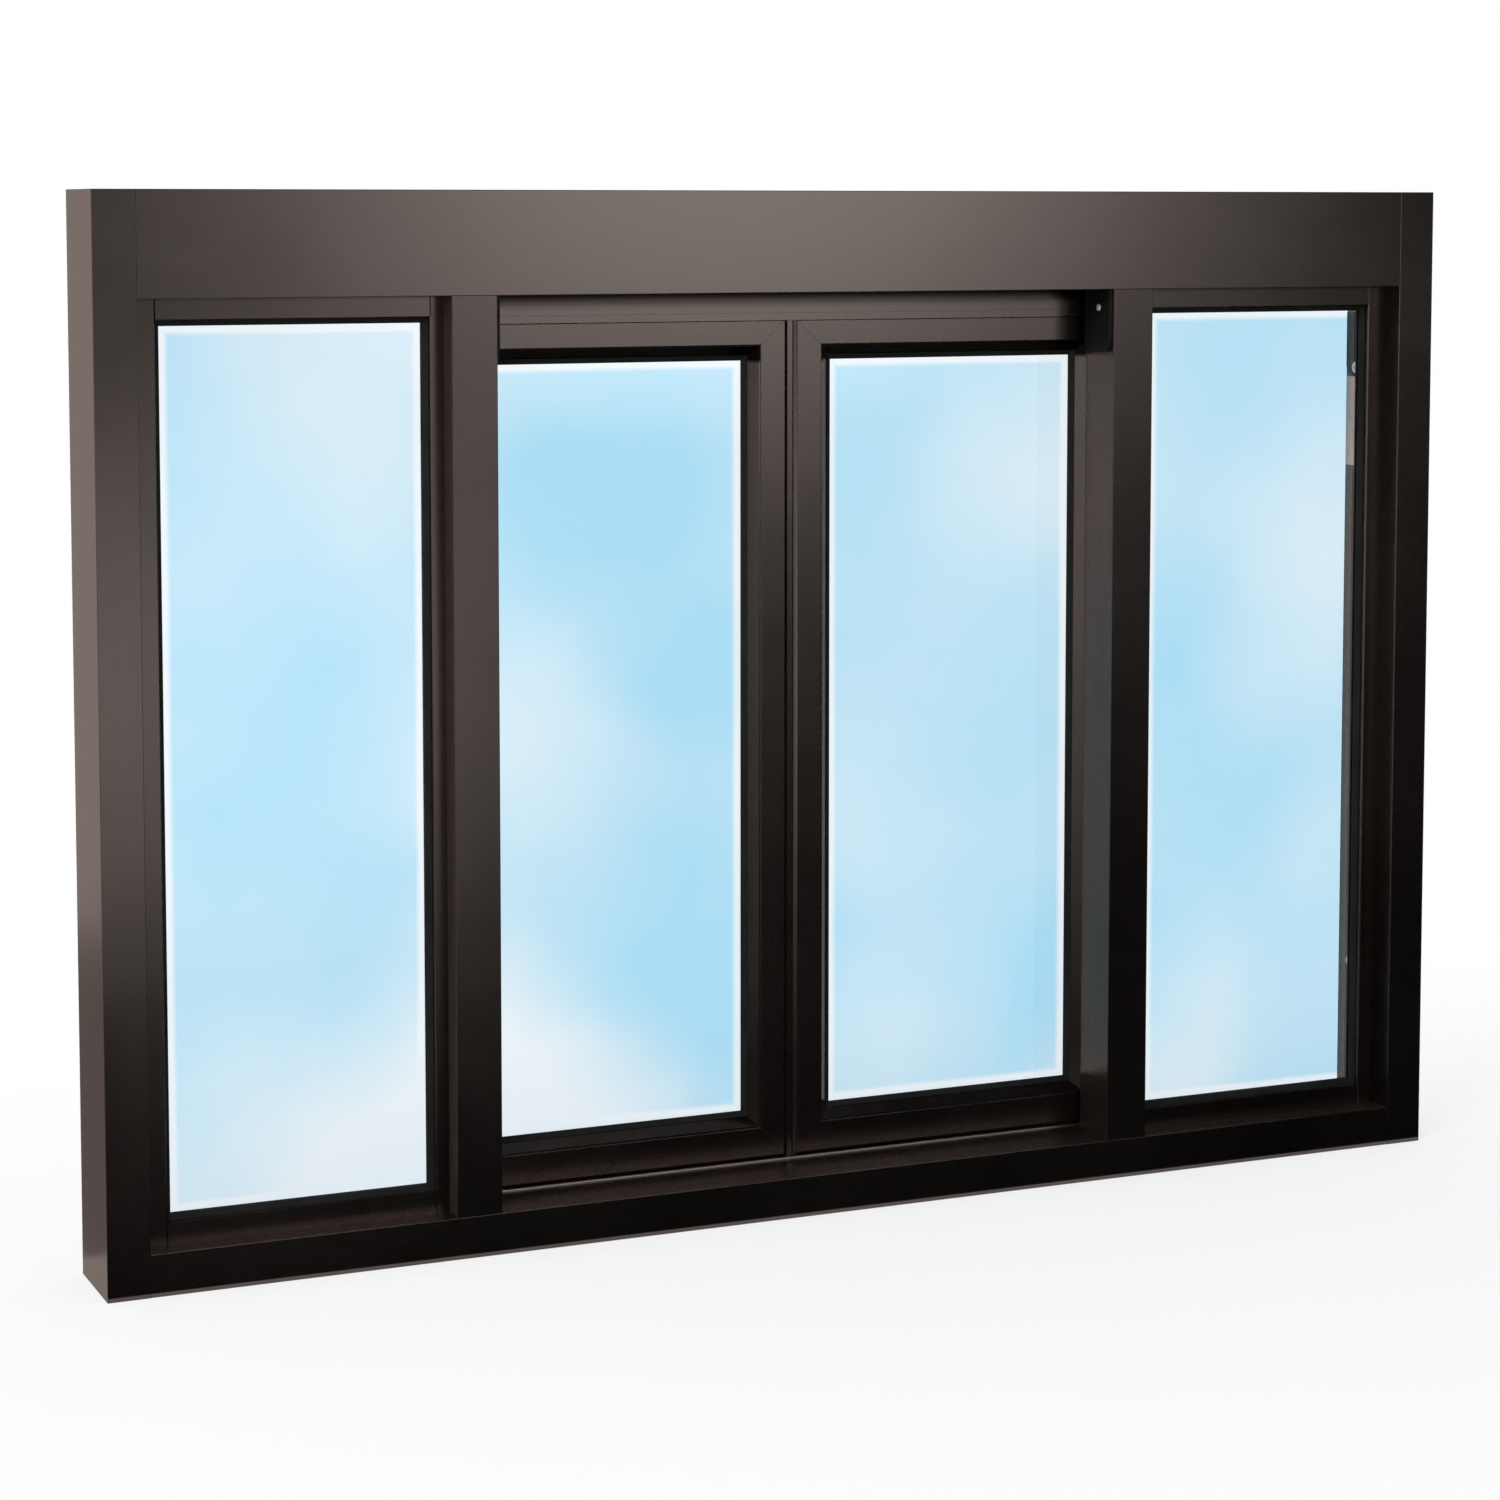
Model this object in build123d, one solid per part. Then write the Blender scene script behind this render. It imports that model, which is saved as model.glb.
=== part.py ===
from build123d import *
import os

# Bi-parting sliding service window in aluminium, in millimetres.
# X runs to the right as seen from outside, Y runs inwards, Z is up.
# The origin is at the middle of the sill's underside.

# Overall frame
frame_width = 1616.0
frame_height = 1152.0
frame_depth = 114.3
tube_wall = 3.0
tube_edge_radius = 0.8

# Faces of the frame members
jamb_face = 46.0
header_face = 112.0
sill_face = 46.0
mullion_face = 51.0
mullion_depth = 66.0
mullion_wall = 2.5
fixed_opening = 337.0

# Screw ports inside the header and the sill
port_radius = 5.0
port_bore_radius = 2.4
port_root = 1.2
rear_port_inset = 26.0

# Anchor holes through the inner walls of the jambs
anchor_hole_radius = 4.2
anchor_above_sill = 163.5
anchor_below_header = 99.5
anchor_depth = 88.0

# Header compartment, its slot and its rear cover
slot_front = 80.0
slot_rear = 98.0
header_lip = 16.0
cover_thickness = 2.5
cover_gap = 0.5
cover_hook = 6.0
skirt_gap = 1.0
skirt_lap = 0.8
seat_gap = 0.3

# Fixed lites: glass, stops and gaskets
glass_thickness = 6.0
fixed_glass_front = 40.0
glass_edge_gap = 8.0
stop_front = 28.0
stop_thickness = 1.8
stop_chamfer = 1.2
jamb_stop_width = 25.0
mullion_stop_width = 15.0
head_stop_width = 23.0
sill_stop_width = 24.0
rear_stop_depth = 10.0
gasket_tape = 2.4
gasket_lip = 6.0
gasket_lip_rise = 3.0
gasket_bite = 5.0
fit_gap = 0.1
butt_gap = 0.3

# Sashes
sash_front = 71.0
sash_depth = 30.0
sash_wall = 2.4
sash_front_radius = 6.0
sash_edge_radius = 0.8
stile_face = 35.0
top_rail_face = 32.0
bottom_rail_face = 39.0
glazing_leg = 12.0
glazing_leg_thickness = 3.5
sash_overlap = 41.0
meeting_gap = 5.0
mitre_gap = 0.4
sill_clearance = 3.0
head_clearance = 28.0

# Sloped snap-in glazing beads of the sashes
bead_width = 11.6
bead_wall = 1.8
bead_nose = 2.3
bead_rebate = 1.8
sash_glass_depth = 17.0
sash_glass_bite = 9.0

# Seal between the meeting stiles
seal_groove_width = 4.0
seal_groove_depth = 4.0
seal_end_gap = 2.0

# Brush strips between the mullions and the sashes
brush_holder_width = 8.0
brush_holder_thickness = 1.5
brush_width = 4.0
brush_inset = 12.0

# Floor guide of the sashes
guide_groove_width = 10.0
guide_groove_depth = 12.0
guide_blade_thickness = 3.5
guide_blade_height = 11.0
guide_base_width = 16.0
guide_base_thickness = 1.5

# Track inside the header, and the fascia that hides the hangers
track_foot_width = 23.0
track_foot_thickness = 3.0
track_rib_thickness = 4.0
track_rib_height = 13.0
track_rib_depth = 72.0
fascia_lip_height = 14.0
fascia_drop = 26.0
fascia_thickness = 2.4
fascia_front = 70.0
fascia_step = 6.0
fascia_flange = 7.0

# Roller hangers
wheel_radius = 16.0
wheel_width = 9.0
wheel_groove_depth = 2.0
wheel_groove_width = 4.6
wheel_spacing = 44.0
axle_radius = 3.0
axle_head_radius = 5.0
axle_head_thickness = 2.0
wheel_side_gap = 0.4
hanger_plate_thickness = 3.0
hanger_plate_depth = 82.5
hanger_length = 84.0
hanger_foot_width = 16.0
hanger_inset = 75.0

# Rubber buffers at the ends of the track
buffer_length = 20.0
buffer_height = 24.0
buffer_depth = 16.0

# Strap and bare plate on the right jamb
strap_width = 41.0
strap_thickness = 3.0
strap_front = 69.0
strap_below_header = 33.0
strap_height = 77.0
strap_corner_radius = 14.0
plate_height = 108.0
plate_thickness = 2.0
plate_gap = 1.0

# Blocks on the mullions' inner sides, under the header
block_front = 3.0
block_width = 60.0
block_height = 72.0
block_thickness = 4.0
block_corner_radius = 14.0
block_edge_bevel = 0.8

# Latch and pulls on the room side of the meeting stiles
latch_height = 64.0
latch_width = 22.0
latch_projection = 8.0
latch_middle_height = 560.0
latch_knob_radius = 9.0
latch_knob_length = 4.5
strike_height = 40.0
strike_width = 16.0
pull_length = 130.0
pull_width = 16.0
pull_projection = 12.0
pull_thickness = 2.5
pull_above_latch = 70.0

# Levels and lines that the pieces share
half_width = frame_width / 2
front_plane = -frame_depth / 2
sill_top = sill_face
header_bottom = frame_height - header_face
opening_edge = half_width - jamb_face
mullion_outer = opening_edge - fixed_opening
mullion_inner = mullion_outer - mullion_face
sash_outer = mullion_inner + sash_overlap
sash_inner = meeting_gap / 2
sash_bottom = sill_top + sill_clearance
sash_top = header_bottom - head_clearance
sash_middle_depth = sash_front + sash_depth / 2
sash_rear = sash_front + sash_depth
fixed_glass_rear = fixed_glass_front + glass_thickness
low_anchor = sill_top + anchor_above_sill
high_anchor = header_bottom - anchor_below_header
strap_bottom = header_bottom - strap_below_header - strap_height


def outline(*points):
    """Closed face through the given corners."""
    return make_face(Polyline(*points, close=True))


def rectangle(low, high):
    """Face between two opposite corners."""
    return outline(low, (high[0], low[1]), high, (low[0], high[1]))


def round_corner(section, corner, radius):
    """Round the one corner of a section that lies nearest to a point."""
    nearest = section.vertices().sort_by_distance((corner[0], corner[1], 0))[0]
    return fillet(nearest, radius)


def tube_section(low, high, wall, radius):
    """Rectangular tube with softened outside corners."""
    outer = rectangle(low, high)
    outer = fillet(outer.vertices(), radius)
    void_low = (low[0] + wall, low[1] + wall)
    void_high = (high[0] - wall, high[1] - wall)
    return outer - rectangle(void_low, void_high)


def screw_port(corner, turn):
    """Open screw port that grows from an inside corner of an extrusion."""
    boss = Circle(port_radius) - Circle(port_bore_radius)
    mouth = Rot(0, 0, turn) * Pos(port_radius, 0) * Rectangle(2 * port_radius, 0.7 * port_bore_radius)
    return Pos(*corner) * (boss - mouth)


def along_x(section, start, end):
    """Extrusion along X of a section drawn as (depth, height)."""
    plane = Plane(origin=(start, front_plane, 0), x_dir=(0, 1, 0), z_dir=(1, 0, 0))
    return extrude(plane * section, end - start, dir=(1, 0, 0))


def along_z(section, start, end):
    """Extrusion along Z of a section drawn as (x, depth)."""
    plane = Plane(origin=(0, front_plane, start))
    return extrude(plane * section, end - start, dir=(0, 0, 1))


def block(x_range, depth_range, z_range):
    """Plain block given by its ranges in x, depth and height."""
    section = rectangle((x_range[0], depth_range[0]), (x_range[1], depth_range[1]))
    return along_z(section, z_range[0], z_range[1])


def ring_bar(side, section, box, start_trim=0.0, end_trim=0.0):
    """One side of a ring. The section is drawn as (distance into the ring, depth)."""
    x_low, x_high, z_low, z_high = box
    upright = side in ("left", "right")
    places = {
        "left": ((x_low, z_low), (1, 0, 0), (0, 0, 1)),
        "right": ((x_high, z_low), (-1, 0, 0), (0, 0, -1)),
        "bottom": ((x_low, z_low), (0, 0, 1), (-1, 0, 0)),
        "top": ((x_low, z_high), (0, 0, -1), (1, 0, 0)),
    }
    corner, inwards, normal = places[side]
    run = (0, 0, 1) if upright else (1, 0, 0)
    length = (z_high - z_low if upright else x_high - x_low) - start_trim - end_trim
    origin = Vector(corner[0], front_plane, corner[1]) + Vector(*run) * start_trim
    plane = Plane(origin=origin, x_dir=inwards, z_dir=normal)
    return extrude(plane * section, length, dir=run)


def shifted(points, x_shift, z_shift):
    """Copy of some (x, z) points moved by a step."""
    return [(x + x_shift, z + z_shift) for x, z in points]


def mitre_block(side, box, faces, reach, gap):
    """Block that trims one side of a ring to its two mitres, with half of the joint's gap."""
    x_low, x_high, z_low, z_high = box
    x_in, x_out = x_low + faces["left"], x_high - faces["right"]
    z_in, z_out = z_low + faces["bottom"], z_high - faces["top"]
    low_left = [(x_low, z_low), (x_in, z_in), (x_in + reach, z_in + reach)]
    low_right = [(x_high, z_low), (x_out, z_in), (x_out - reach, z_in + reach)]
    top_left = [(x_low, z_high), (x_in, z_out), (x_in + reach, z_out - reach)]
    top_right = [(x_high, z_high), (x_out, z_out), (x_out - reach, z_out - reach)]
    trim = gap / 2
    corners = {
        "left": shifted(low_left, 0, trim) + shifted(top_left, 0, -trim)[::-1],
        "right": shifted(low_right, 0, trim) + shifted(top_right, 0, -trim)[::-1],
        "bottom": shifted(low_left, trim, 0) + shifted(low_right, -trim, 0)[::-1],
        "top": shifted(top_left, trim, 0) + shifted(top_right, -trim, 0)[::-1],
    }
    return extrude(Plane.XZ * outline(*corners[side]), 2 * frame_depth, both=True)


def even_faces(width):
    """The same face width on all four sides of a ring."""
    return {side: width for side in ("left", "right", "bottom", "top")}


def mitred_ring(section_of, box, faces, reach, gap):
    """Four mitred bars. section_of gives the section for each side."""
    return [
        ring_bar(side, section_of(side), box) & mitre_block(side, box, faces, reach, gap)
        for side in ("left", "right", "bottom", "top")
    ]


def butted_ring(section_of, box, faces):
    """Four square-cut bars: the uprights run through and the others fit between them."""
    between = (faces["left"] + butt_gap, faces["right"] + butt_gap)
    uprights = [ring_bar(side, section_of(side), box) for side in ("left", "right")]
    crossbars = [ring_bar(side, section_of(side), box, *between) for side in ("bottom", "top")]
    return uprights + crossbars


def inset_box(box, faces):
    """Box inside the faces of a ring."""
    x_low, x_high, z_low, z_high = box
    return (x_low + faces["left"], x_high - faces["right"], z_low + faces["bottom"], z_high - faces["top"])


def to_right(shape):
    """Mirror a left-hand piece to the right-hand side."""
    return mirror(shape, about=Plane.YZ)


def save(name, *shapes):
    """Write one sub-part, which may hold several solids that do not touch."""
    solids = [solid for shape in shapes for solid in shape.solids()]
    export_step(Compound(children=solids) if len(solids) > 1 else solids[0], f"parts/{name}.step")


def save_pair(name, *shapes):
    """Write a left-hand sub-part and its mirror image."""
    save(f"left_{name}", *shapes)
    save(f"right_{name}", *[to_right(shape) for shape in shapes])


# Frame members


def anchor_hole(height):
    """Cylinder that drills one anchor hole through the left jamb's inner wall and what lies on it."""
    place = Pos(-opening_edge, front_plane + anchor_depth, height)
    return place * Rot(0, 90, 0) * Cylinder(anchor_hole_radius, jamb_face)


def jamb():
    """Left jamb: a full-height tube with two anchor holes through its inner wall."""
    section = tube_section((-half_width, 0), (-opening_edge, frame_depth), tube_wall, tube_edge_radius)
    tube = along_z(section, 0, frame_height)
    return tube - anchor_hole(low_anchor) - anchor_hole(high_anchor)


def mullion():
    """Left mullion: a tube that stands on the sill and carries the header."""
    section = tube_section((-mullion_outer, 0), (-mullion_inner, mullion_depth), mullion_wall, tube_edge_radius)
    return along_z(section, sill_top, header_bottom)


def sill():
    """Tube between the jambs with screw ports in three corners."""
    section = tube_section((0, 0), (frame_depth, sill_face), tube_wall, tube_edge_radius)
    inset = tube_wall + port_radius - port_root
    section += screw_port((inset, inset), 45)
    section += screw_port((frame_depth - inset, inset), 135)
    section += screw_port((inset, sill_face - inset), -45)
    return along_x(section, -opening_edge, opening_edge)


def header_box():
    """Header open below and behind, where the hangers run and the cover sits."""
    section = tube_section((0, header_bottom), (frame_depth, frame_height), tube_wall, tube_edge_radius)
    section -= rectangle((slot_front, header_bottom), (frame_depth, header_bottom + tube_wall))
    section -= rectangle((frame_depth - tube_wall, header_bottom), (frame_depth, frame_height - header_lip))
    inset = tube_wall + port_radius - port_root
    section += screw_port((inset, header_bottom + inset), 45)
    section += screw_port((inset, frame_height - inset), -45)
    section += screw_port((frame_depth - rear_port_inset, frame_height - inset), -90)
    return along_x(section, -opening_edge, opening_edge)


def header_cover():
    """Rear cover that hooks behind the header's upper lip, with a skirt that hides the slot from the room."""
    top = frame_height - header_lip - cover_gap
    plate_front = frame_depth - cover_thickness
    hook_rear = frame_depth - tube_wall - seat_gap
    hook_front = hook_rear - cover_thickness
    skirt_front = sash_rear + skirt_gap
    skirt_rear = skirt_front + cover_thickness
    skirt_bottom = sash_top - skirt_lap
    section = outline(
        (slot_rear, header_bottom),
        (skirt_front, header_bottom),
        (skirt_front, skirt_bottom),
        (skirt_rear, skirt_bottom),
        (skirt_rear, header_bottom),
        (frame_depth, header_bottom),
        (frame_depth, top),
        (hook_rear, top),
        (hook_rear, top + cover_hook),
        (hook_front, top + cover_hook),
        (hook_front, top - cover_thickness),
        (plate_front, top - cover_thickness),
        (plate_front, header_bottom + cover_thickness),
        (slot_rear, header_bottom + cover_thickness),
    )
    section = round_corner(section, (frame_depth, header_bottom), tube_edge_radius)
    return along_x(section, -opening_edge + butt_gap, opening_edge - butt_gap)


# Track, fascia and floor guide


def sash_track():
    """Rail inside the header: a flat foot and a round-topped rib for the wheels."""
    floor = header_bottom + tube_wall
    foot_rear = track_rib_depth + track_rib_thickness / 2
    foot = rectangle((foot_rear - track_foot_width, floor), (foot_rear, floor + track_foot_thickness))
    rib_low = (track_rib_depth - track_rib_thickness / 2, floor)
    rib = rectangle(rib_low, (foot_rear, floor + track_rib_height))
    for side in (-1, 1):
        corner = (track_rib_depth + side * track_rib_thickness / 2, floor + track_rib_height)
        rib = round_corner(rib, corner, 0.45 * track_rib_thickness)
    return along_x(foot + rib, -opening_edge + butt_gap, opening_edge - butt_gap)


def track_fascia():
    """Stepped strip under the header that hides the hangers from outside."""
    bottom = header_bottom - fascia_drop
    lip_top = bottom + fascia_lip_height
    web_front = fascia_front + fascia_step
    web_rear = web_front + fascia_thickness
    section = outline(
        (fascia_front, bottom),
        (fascia_front + fascia_thickness, bottom),
        (fascia_front + fascia_thickness, lip_top - fascia_thickness),
        (web_rear, lip_top - fascia_thickness),
        (web_rear, header_bottom),
        (web_front - fascia_flange + fascia_thickness, header_bottom),
        (web_front - fascia_flange + fascia_thickness, header_bottom - fascia_thickness),
        (web_front, header_bottom - fascia_thickness),
        (web_front, lip_top),
        (fascia_front, lip_top),
    )
    return along_x(section, -opening_edge + butt_gap, opening_edge - butt_gap)


def sill_guide():
    """Blade on the sill that runs in a groove under both sashes."""
    middle = sash_middle_depth
    base_top = sill_top + guide_base_thickness
    base = rectangle((middle - guide_base_width / 2, sill_top), (middle + guide_base_width / 2, base_top))
    blade_half = guide_blade_thickness / 2
    blade_low = (middle - blade_half, sill_top)
    blade = rectangle(blade_low, (middle + blade_half, sill_top + guide_blade_height))
    for side in (-1, 1):
        blade = round_corner(blade, (middle + side * blade_half, sill_top + guide_blade_height), 0.45 * blade_half)
    return along_x(base + blade, -opening_edge + butt_gap, opening_edge - butt_gap)


def track_buffers():
    """Rubber buffers that stop the hangers at both ends of the track."""
    foot_rear = track_rib_depth + track_rib_thickness / 2
    floor = header_bottom + tube_wall + track_rib_height
    outer = opening_edge - butt_gap
    depths = (foot_rear - buffer_depth, foot_rear)
    left = block((-outer, -outer + buffer_length), depths, (floor, floor + buffer_height))
    left = fillet(left.edges().filter_by(Axis.Y), buffer_length / 6)
    return left


# Fixed lites

fixed_box = (-opening_edge, -mullion_outer, sill_top, header_bottom)
fixed_faces = {
    "left": jamb_stop_width,
    "right": mullion_stop_width,
    "bottom": sill_stop_width,
    "top": head_stop_width,
}


def stop_section(width, front, depth, chamfer_front):
    """Channel-shaped snap-in stop, open towards the glass."""
    rear = front + depth
    outer = rectangle((0, front), (width, rear))
    outer = chamfer(outer.vertices().sort_by_distance((width, front if chamfer_front else rear, 0))[0], stop_chamfer)
    inner_front = front + stop_thickness if chamfer_front else front
    inner_rear = rear if chamfer_front else rear - stop_thickness
    return outer - rectangle((stop_thickness, inner_front), (width - stop_thickness, inner_rear))


def front_stops():
    """Four front stops of the left fixed lite."""
    depth = fixed_glass_front - gasket_tape - stop_front
    return butted_ring(lambda side: stop_section(fixed_faces[side], stop_front, depth, True), fixed_box, fixed_faces)


def rear_stops():
    """Four rear stops of the left fixed lite."""
    front = fixed_glass_rear + gasket_tape
    return butted_ring(
        lambda side: stop_section(fixed_faces[side], front, rear_stop_depth, False), fixed_box, fixed_faces
    )


def gasket_section(width, glass_face, towards):
    """Tape behind a stop with a sloped lip beyond the stop's edge."""
    near = glass_face - towards * fit_gap
    far = glass_face - towards * (gasket_tape - fit_gap)
    raised = glass_face - towards * (gasket_tape + gasket_lip_rise)
    edge = width + fit_gap
    return outline(
        (width - gasket_bite, near),
        (width - gasket_bite, far),
        (edge, far),
        (edge, raised),
        (width + gasket_lip, near - towards * gasket_tape / 2),
        (width + gasket_lip, near),
    )


def fixed_gasket(glass_face, towards):
    """Closed gasket ring on one face of the left fixed glass."""
    bars = mitred_ring(
        lambda side: gasket_section(fixed_faces[side], glass_face, towards), fixed_box, fixed_faces, gasket_lip, 0
    )
    return bars[0] + bars[1] + bars[2] + bars[3]


def fixed_glass():
    """Glass of the left fixed lite, held between the stops."""
    x_low, x_high, z_low, z_high = inset_box(fixed_box, even_faces(glass_edge_gap))
    return block((x_low, x_high), (fixed_glass_front, fixed_glass_rear), (z_low, z_high))


# Sashes

sash_box = (-sash_outer, -sash_inner, sash_bottom, sash_top)
sash_faces = {
    "left": stile_face,
    "right": stile_face,
    "bottom": bottom_rail_face,
    "top": top_rail_face,
}
bead_box = inset_box(sash_box, sash_faces)
sash_glass_front = sash_front + sash_glass_depth
sash_glass_rear = sash_glass_front + glass_thickness


def sash_section(side):
    """Tubular sash member with a rounded outer edge and a rear glazing leg."""
    face = sash_faces[side]
    leg_front = sash_rear - glazing_leg_thickness
    outer = outline(
        (0, sash_front),
        (face, sash_front),
        (face, leg_front),
        (face + glazing_leg, leg_front),
        (face + glazing_leg, sash_rear),
        (0, sash_rear),
    )
    outer = round_corner(outer, (0, sash_front), sash_front_radius)
    outer = round_corner(outer, (face, sash_front), sash_edge_radius)
    outer = round_corner(outer, (0, sash_rear), sash_edge_radius)
    void = rectangle((sash_wall, sash_front + sash_wall), (face - sash_wall, sash_rear - sash_wall))
    void = round_corner(void, (sash_wall, sash_front + sash_wall), sash_front_radius - sash_wall)
    if side == "bottom":
        groove_half = guide_groove_width / 2
        groove_low = (0, sash_middle_depth - groove_half)
        groove_high = (guide_groove_depth, sash_middle_depth + groove_half)
        lining_low = (0, groove_low[1] - sash_wall)
        lining_high = (guide_groove_depth + sash_wall, groove_high[1] + sash_wall)
        outer -= rectangle(groove_low, groove_high)
        void -= rectangle(lining_low, lining_high)
    if side == "right":
        groove_half = seal_groove_width / 2
        groove_low = (0, sash_middle_depth - groove_half)
        groove_high = (seal_groove_depth, sash_middle_depth + groove_half)
        lining_low = (0, groove_low[1] - sash_wall)
        lining_high = (seal_groove_depth + sash_wall, groove_high[1] + sash_wall)
        outer -= rectangle(groove_low, groove_high)
        void -= rectangle(lining_low, lining_high)
    return outer - void


def sash_members():
    """Four mitred members of the left sash, by side. The guide's groove runs on through the stiles."""
    bars = mitred_ring(sash_section, sash_box, sash_faces, 2 * glazing_leg, mitre_gap)
    half = guide_groove_width / 2
    depths = (sash_middle_depth - half, sash_middle_depth + half)
    groove = block((-sash_outer, -sash_inner), depths, (sash_bottom, sash_bottom + guide_groove_depth))
    members = dict(zip(("left", "right", "bottom", "top"), bars))
    members["left"] -= groove
    members["right"] -= groove
    return members


def bead_section():
    """Open snap-in bead with a slope from the sash's face down to the glass."""
    near = sash_front + sash_edge_radius
    rear = sash_glass_front - gasket_tape
    root = fit_gap
    return outline(
        (root, near),
        (root + bead_wall, near),
        (bead_width, rear - bead_nose),
        (bead_width, rear),
        (bead_width - bead_wall, rear),
        (bead_width - bead_wall, rear - bead_rebate),
        (root + bead_wall, near + 2 * bead_wall),
        (root + bead_wall, rear),
        (root, rear),
    )


def sash_beads():
    """Four mitred beads of the left sash."""
    return mitred_ring(lambda side: bead_section(), bead_box, even_faces(bead_width), gasket_lip, mitre_gap)


def sash_gaskets():
    """Closed gasket rings in front of and behind the left sash's glass."""
    front_bars = mitred_ring(
        lambda side: gasket_section(bead_width, sash_glass_front, 1), bead_box, even_faces(bead_width), gasket_lip, 0
    )
    leg_face = sash_rear - glazing_leg_thickness
    rear_section = rectangle(
        (glazing_leg - gasket_bite, sash_glass_rear + fit_gap), (glazing_leg, leg_face - fit_gap)
    )
    rear_bars = mitred_ring(lambda side: rear_section, bead_box, even_faces(glazing_leg), gasket_lip, 0)
    front = front_bars[0] + front_bars[1] + front_bars[2] + front_bars[3]
    rear = rear_bars[0] + rear_bars[1] + rear_bars[2] + rear_bars[3]
    return [front, rear]


def sash_glass():
    """Glass of the left sash."""
    x_low, x_high, z_low, z_high = inset_box(bead_box, even_faces(bead_width - sash_glass_bite))
    return block((x_low, x_high), (sash_glass_front, sash_glass_rear), (z_low, z_high))


def wheel():
    """Grooved wheel, with its axis along Y and its middle at the origin."""
    half = wheel_width / 2
    groove = wheel_groove_width / 2
    tread = wheel_radius - wheel_groove_depth
    section = outline(
        (axle_radius + fit_gap, -half),
        (wheel_radius, -half),
        (wheel_radius, -groove),
        (tread, 0.8 - groove),
        (tread, groove - 0.8),
        (wheel_radius, groove),
        (wheel_radius, half),
        (axle_radius + fit_gap, half),
    )
    return revolve(section, Axis.Y)


def hanger(middle):
    """One two-wheeled hanger of a sash, centred on an x position."""
    foot_low = sash_top
    plate_rear = hanger_plate_depth + hanger_plate_thickness
    axle_height = header_bottom + tube_wall + track_rib_height + wheel_radius - wheel_groove_depth
    plate_top = axle_height + 2 * axle_head_radius
    span = (middle - hanger_length / 2, middle + hanger_length / 2)
    plate = block(span, (hanger_plate_depth, plate_rear), (foot_low, plate_top))
    plate = chamfer(plate.edges().filter_by(Axis.Y).group_by(Axis.Z)[-1], axle_head_radius)
    foot = block(
        span,
        (hanger_plate_depth, hanger_plate_depth + hanger_foot_width),
        (foot_low, foot_low + hanger_plate_thickness),
    )
    carrier = plate + foot
    wheels = []
    for step in (-0.5, 0.5):
        centre = Pos(middle + step * wheel_spacing, front_plane + track_rib_depth, axle_height)
        wheels.append(centre * wheel())
        axle_front = track_rib_depth - wheel_width / 2 - wheel_side_gap - axle_head_thickness
        head_middle = front_plane + axle_front + axle_head_thickness / 2
        head = Pos(middle + step * wheel_spacing, head_middle, axle_height)
        head *= Rot(90, 0, 0) * Cylinder(axle_head_radius, axle_head_thickness)
        pin_length = hanger_plate_depth - axle_front
        pin = Pos(middle + step * wheel_spacing, front_plane + axle_front + pin_length / 2, axle_height)
        pin *= Rot(90, 0, 0) * Cylinder(axle_radius, pin_length)
        carrier += head + pin
    return [carrier] + wheels


def sash_hangers():
    """Both hangers of the left sash."""
    outer_middle = -sash_outer + hanger_inset
    inner_middle = -sash_inner - hanger_inset
    return hanger(outer_middle) + hanger(inner_middle)


# Seals


def meeting_seal():
    """Bulb seal held in the left meeting stile and closing on the right one."""
    stem_half = seal_groove_width / 2 - fit_gap
    stem = rectangle(
        (-sash_inner - seal_groove_depth + fit_gap, sash_middle_depth - stem_half),
        (-sash_inner + fit_gap, sash_middle_depth + stem_half),
    )
    bulb_radius = (meeting_gap - seat_gap) / 2
    bulb = Pos(-sash_inner + bulb_radius, sash_middle_depth) * Circle(bulb_radius)
    bottom = sash_bottom + guide_groove_depth + seal_end_gap
    top = sash_top - seal_groove_depth - seal_end_gap
    return along_z(stem + bulb, bottom, top)


def mullion_brush():
    """Brush strip on the back of the left mullion."""
    middle = -mullion_inner - brush_inset
    holder_rear = mullion_depth + brush_holder_thickness
    holder = rectangle(
        (middle - brush_holder_width / 2, mullion_depth), (middle + brush_holder_width / 2, holder_rear)
    )
    brush = rectangle((middle - brush_width / 2, holder_rear), (middle + brush_width / 2, sash_front - seat_gap))
    top = header_bottom - fascia_drop - sill_clearance
    return along_z(holder + brush, sash_bottom, top)


# Fittings


def jamb_strap():
    """Strap on the right jamb with rounded lower corners. The upper anchor passes through it."""
    face = opening_edge - strap_thickness
    rear = strap_front + strap_width
    strap = block((face, opening_edge), (strap_front, rear), (strap_bottom, strap_bottom + strap_height))
    low_edges = strap.edges().filter_by(Axis.X).group_by(Axis.Z)[0]
    strap = fillet(low_edges, strap_corner_radius)
    return strap - to_right(anchor_hole(high_anchor))


def jamb_plate():
    """Bare rectangular plate on the right jamb."""
    face = opening_edge - plate_thickness
    top = strap_bottom - plate_gap
    return block((face, opening_edge), (strap_front, strap_front + strap_width), (top - plate_height, top))


def mullion_block():
    """Block under the header on the inner side of the left mullion, with rounded lower corners."""
    face = -mullion_inner + block_thickness
    depths = (block_front, block_front + block_width)
    plate = block((-mullion_inner, face), depths, (header_bottom - block_height, header_bottom))
    low_edges = plate.edges().filter_by(Axis.X).group_by(Axis.Z)[0]
    plate = fillet(low_edges, block_corner_radius)
    face_edges = plate.faces().sort_by(Axis.X)[-1].edges()
    return chamfer(face_edges, block_edge_bevel)


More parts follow.
